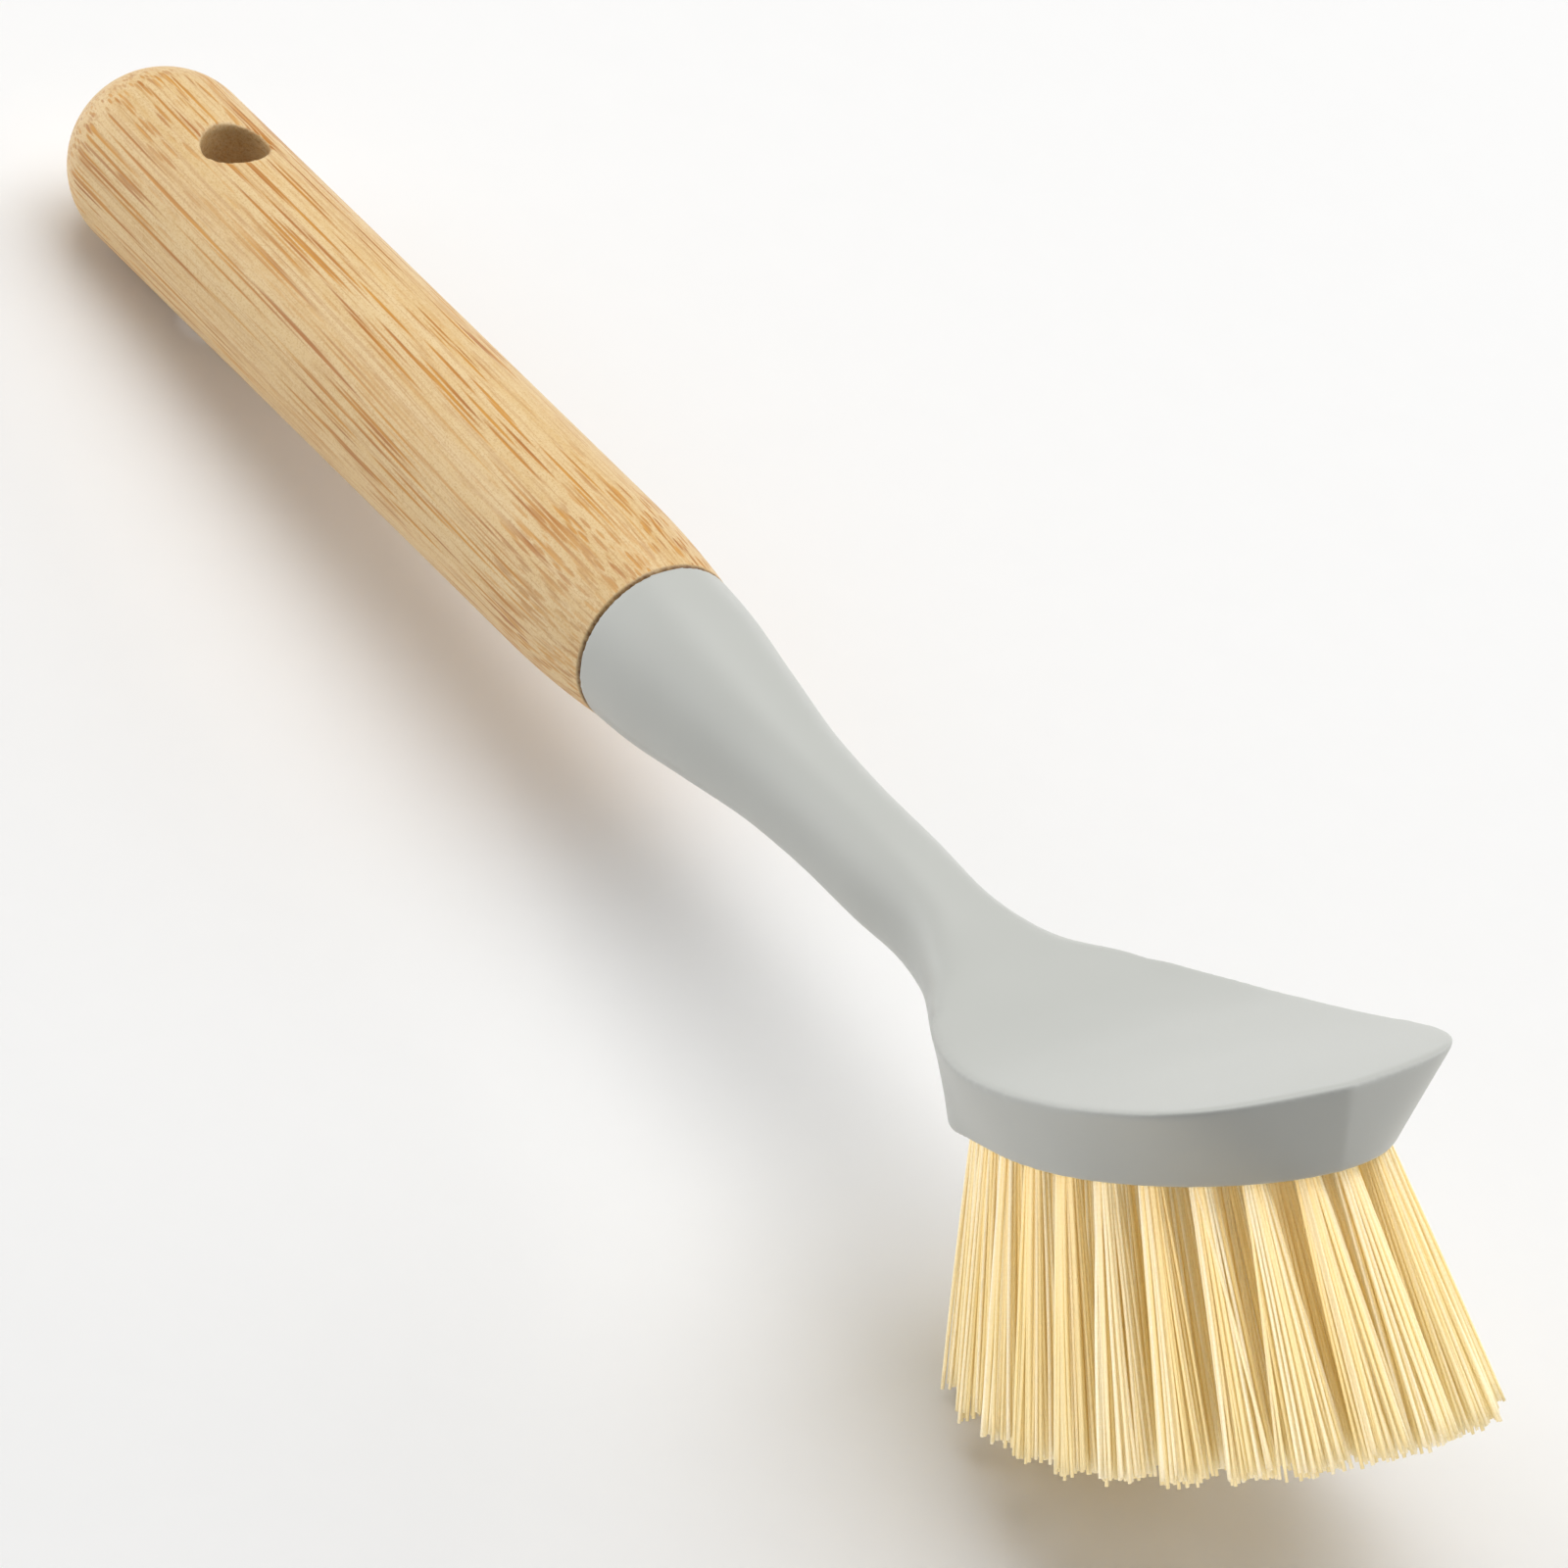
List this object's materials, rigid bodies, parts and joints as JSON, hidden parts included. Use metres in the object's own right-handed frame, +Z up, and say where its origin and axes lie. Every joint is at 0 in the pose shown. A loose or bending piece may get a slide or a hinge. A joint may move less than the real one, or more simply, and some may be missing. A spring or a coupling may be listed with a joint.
{
  "type": "dish brush",
  "caption": "Dish brush with a round bamboo handle, a pointed light grey plastic head and stiff natural-fibre bristles.",
  "frame": {"origin": "on the worktop under the centre of the brush's bounding box", "axes": "+X towards the nose of the head, +Y to one side of the symmetric brush, +Z up from the worktop"},
  "size_m": [0.2882, 0.0496, 0.0753],
  "materials": {
    "bamboo": "satin",
    "grey_plastic": "matte",
    "plant_fibre": "matte",
    "anchor_metal": "satin"
  },
  "bodies": {
    "root": {"bamboo_handle": "bamboo", "head_and_neck": "grey_plastic", "tuft_01": "plant_fibre", "tuft_02": "plant_fibre", "tuft_03": "plant_fibre", "tuft_04": "plant_fibre", "tuft_05": "plant_fibre", "tuft_06": "plant_fibre", "tuft_07": "plant_fibre", "tuft_08": "plant_fibre", "tuft_09": "plant_fibre", "tuft_10": "plant_fibre", "tuft_11": "plant_fibre", "tuft_12": "plant_fibre", "tuft_13": "plant_fibre", "tuft_14": "plant_fibre", "tuft_15": "plant_fibre", "tuft_16": "plant_fibre", "tuft_17": "plant_fibre", "tuft_18": "plant_fibre", "tuft_19": "plant_fibre", "tuft_20": "plant_fibre", "tuft_21": "plant_fibre", "tuft_22": "plant_fibre", "tuft_23": "plant_fibre", "tuft_24": "plant_fibre", "tuft_25": "plant_fibre", "tuft_26": "plant_fibre", "tuft_27": "plant_fibre", "tuft_28": "plant_fibre", "tuft_29": "plant_fibre", "tuft_30": "plant_fibre", "tuft_31": "plant_fibre", "tuft_32": "plant_fibre", "tuft_33": "plant_fibre", "tuft_34": "plant_fibre", "tuft_35": "plant_fibre", "tuft_36": "plant_fibre", "tuft_37": "plant_fibre", "tuft_38": "plant_fibre", "tuft_39": "plant_fibre", "tuft_40": "plant_fibre", "tuft_41": "plant_fibre", "tuft_42": "plant_fibre", "tuft_43": "plant_fibre", "tuft_44": "plant_fibre", "tuft_45": "plant_fibre", "tuft_46": "plant_fibre", "tuft_47": "plant_fibre", "tuft_48": "plant_fibre", "tuft_49": "plant_fibre", "tuft_50": "plant_fibre", "tuft_anchors": "anchor_metal"}
  },
  "joints": []
}
